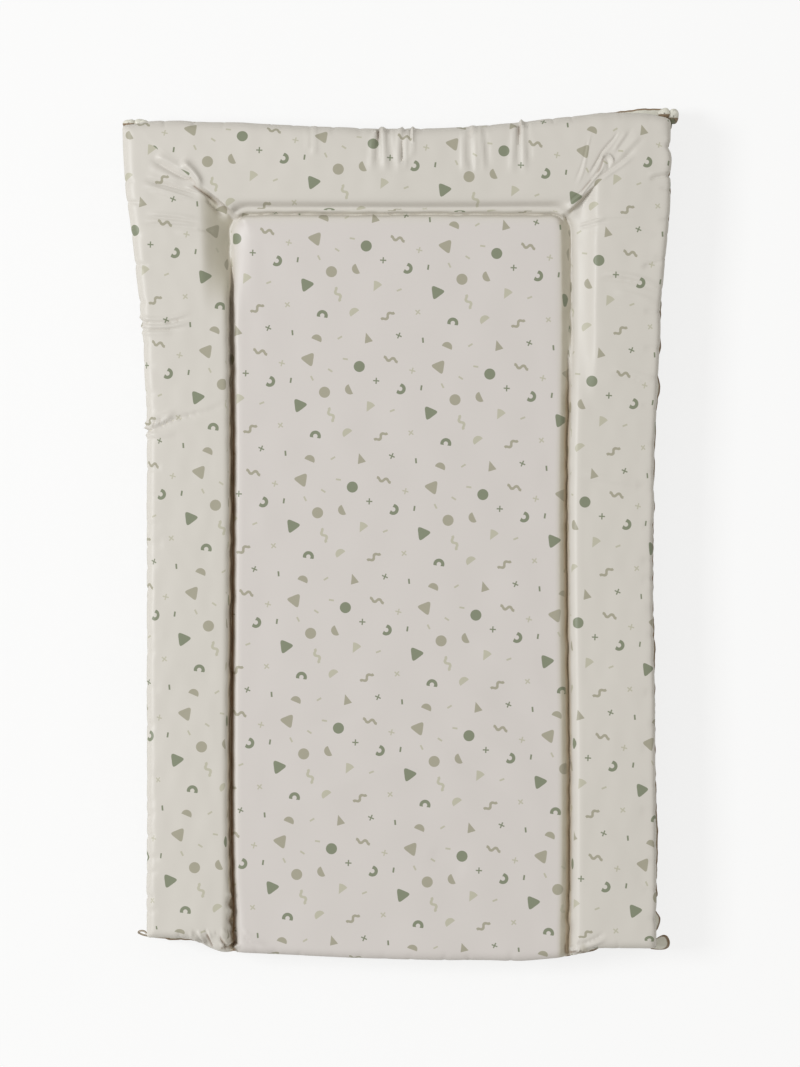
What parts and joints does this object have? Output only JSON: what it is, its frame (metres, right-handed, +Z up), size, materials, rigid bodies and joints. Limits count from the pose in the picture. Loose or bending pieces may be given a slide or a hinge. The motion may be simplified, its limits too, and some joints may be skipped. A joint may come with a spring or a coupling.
{
  "type": "changing mat",
  "caption": "Padded wipe-clean mat with raised bolsters along both sides and the head, a tucked groove round the lying pad and a welded band round its edge.",
  "frame": {"origin": "under the middle of the mat, on the surface that it rests on", "axes": "+X across the mat, +Y from the open foot to the head bolster, +Z up"},
  "size_m": [0.5009, 0.7726, 0.069],
  "materials": {
    "printed_film": "satin off-white film with a small scattered print in greens and taupe",
    "plain_film": "satin off-white film, finely grained",
    "weld_band": "two plies of film welded together, slightly see-through and browner at the cut edge",
    "foam": "open-cell foam",
    "wadding": "soft fibre wadding"
  },
  "bodies": {
    "root": {"top_cover": "printed_film", "base_sheet": "plain_film", "edge_seam": "weld_band", "groove_web": "plain_film", "centre_foam": "foam", "centre_wadding": "wadding", "left_bolster_foam": "foam", "right_bolster_foam": "foam", "head_bolster_foam": "foam"}
  },
  "joints": []
}
